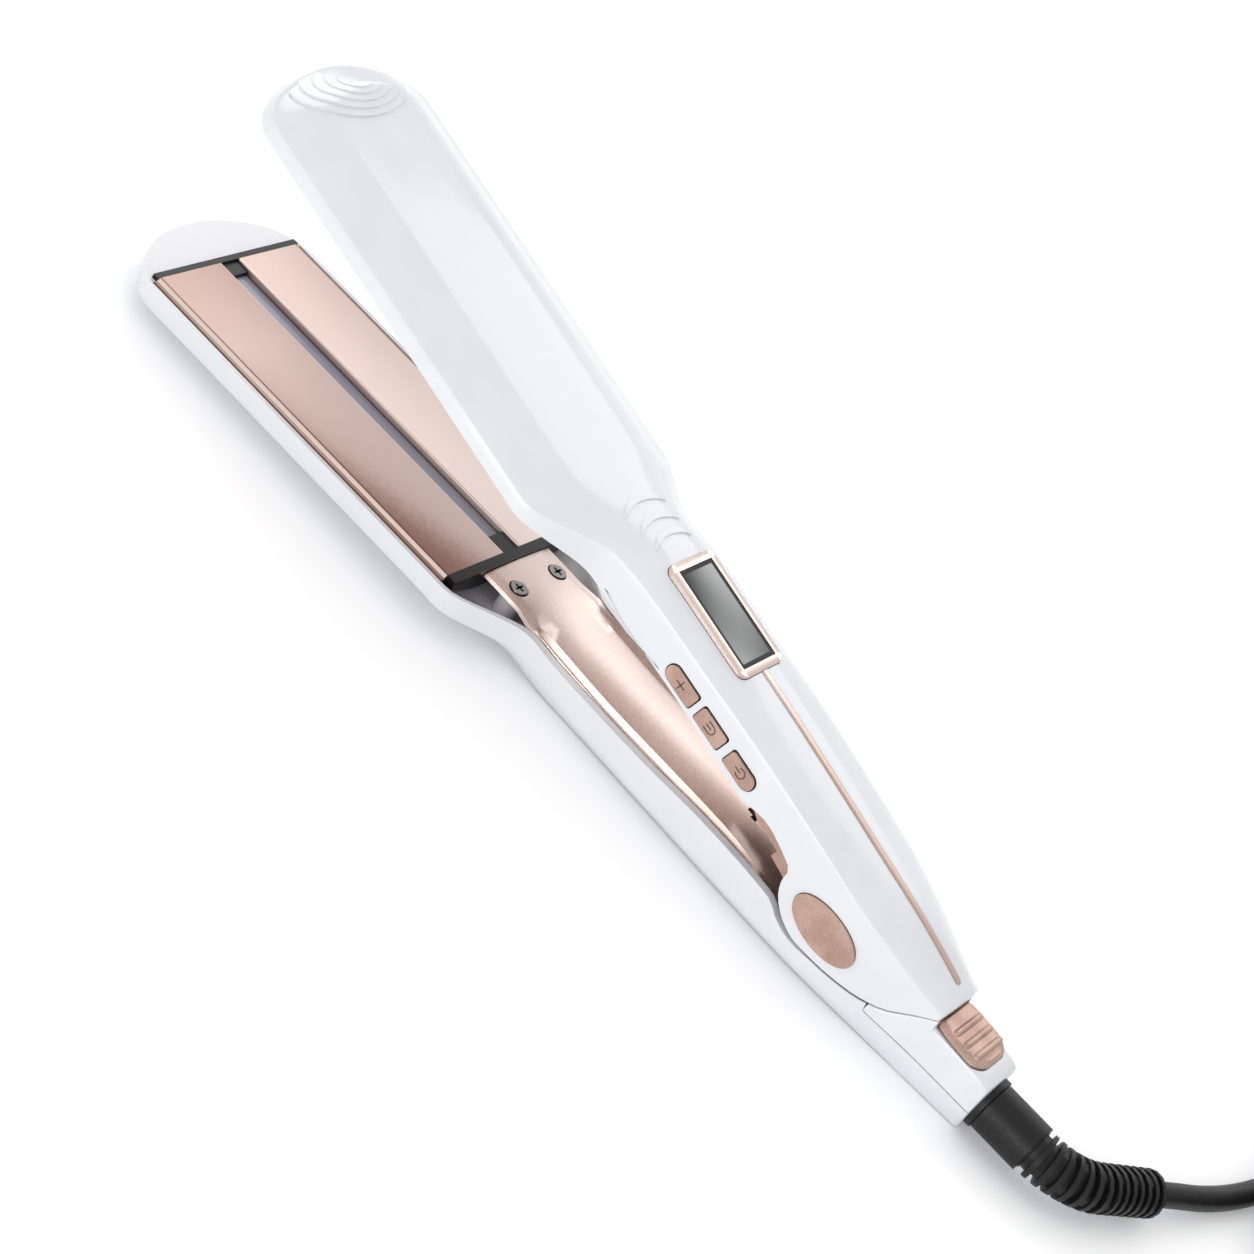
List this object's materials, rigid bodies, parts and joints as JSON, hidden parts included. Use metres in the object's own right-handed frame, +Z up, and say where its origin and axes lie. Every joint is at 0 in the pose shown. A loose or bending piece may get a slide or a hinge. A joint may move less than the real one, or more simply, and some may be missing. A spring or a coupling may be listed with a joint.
{
  "type": "hair iron",
  "caption": "White two-arm hair iron with rose gold heated plates, small display, side buttons, sliding lock and swivel cord, lying open on its back.",
  "frame": {"origin": "on the surface the iron lies on, straight below the hinge axis, midway between its sides", "axes": "+X towards the tips of the arms, +Y towards the side with the buttons, +Z up from the surface it lies on"},
  "size_m": [0.42, 0.1492, 0.0719],
  "materials": {
    "white_shell": "high gloss",
    "rose_plate": "satin metallic coat",
    "rose_trim": "satin metallised plastic",
    "black_frame": "matt",
    "black_rubber": "matt",
    "infrared_glass": "gloss",
    "ceramic": "matt",
    "steel": "bright",
    "dark_steel": "black oxide",
    "smoked_glass": "gloss",
    "display_module": "matt",
    "board": "solder resist"
  },
  "bodies": {
    "lower_arm": {"lower_shell": "white_shell", "tail_cover": "white_shell", "lower_plate_frame": "black_frame", "lower_plate_near": "rose_plate", "lower_plate_far": "rose_plate", "lower_infrared_strip": "infrared_glass", "lower_heaters": "ceramic", "lower_liner": "rose_trim", "lower_liner_screws": "dark_steel", "hinge_barrel": "black_frame", "hinge_spring": "steel", "swivel_collar": "black_rubber", "strain_relief": "black_rubber", "cord": "black_rubber", "cord_coil": "black_rubber", "plug": "black_rubber", "plug_pins": "steel"},
    "upper_arm": {"hinge_pin": "steel", "upper_shell": "white_shell", "upper_plate_frame": "black_frame", "upper_plate_near": "rose_plate", "upper_plate_far": "rose_plate", "upper_infrared_strip": "infrared_glass", "upper_heaters": "ceramic", "upper_liner": "rose_trim", "upper_liner_screws": "dark_steel", "hinge_ears": "rose_trim", "hinge_cap_near": "rose_trim", "hinge_cap_far": "rose_trim", "lock_catch": "white_shell", "display_bezel": "rose_trim", "display_window": "smoked_glass", "display_module": "display_module", "circuit_board": "board", "button_switches": "black_frame"},
    "button_plus": {"button_plus": "rose_trim"},
    "button_mode": {"button_mode": "rose_trim"},
    "button_power": {"button_power": "rose_trim"},
    "lock_slider": {"lock_slider": "rose_trim"},
    "swivel": {"swivel_barrel": "black_rubber"}
  },
  "joints": [
    {"name": "arm_hinge", "type": "hinge", "parent": "lower_arm", "child": "upper_arm", "pos_m": [0, 0, 0.017], "axis": [0, 1, 0], "range_deg": [0, 13.2], "stiffness_Nm_per_rad": 0.6, "springref_deg": -34.38},
    {"name": "lock_slide", "type": "slide", "parent": "lower_arm", "child": "lock_slider", "axis": [0.9994, 0, -0.0349], "range_m": [0, 0.0026]},
    {"name": "cord_swivel", "type": "hinge", "parent": "lower_arm", "child": "swivel", "pos_m": [-0.05435, 0, 0.00779], "axis": [0.9994, 0, -0.0349], "continuous": true},
    {"name": "button_plus_press", "type": "slide", "parent": "upper_arm", "child": "button_plus", "axis": [0, -1, 0], "range_m": [0, 0.001], "stiffness_N_per_m": 200, "springref_m": -0.0008},
    {"name": "button_mode_press", "type": "slide", "parent": "upper_arm", "child": "button_mode", "axis": [0, -1, 0], "range_m": [0, 0.001], "stiffness_N_per_m": 200, "springref_m": -0.0008},
    {"name": "button_power_press", "type": "slide", "parent": "upper_arm", "child": "button_power", "axis": [0, -1, 0], "range_m": [0, 0.001], "stiffness_N_per_m": 200, "springref_m": -0.0008}
  ]
}
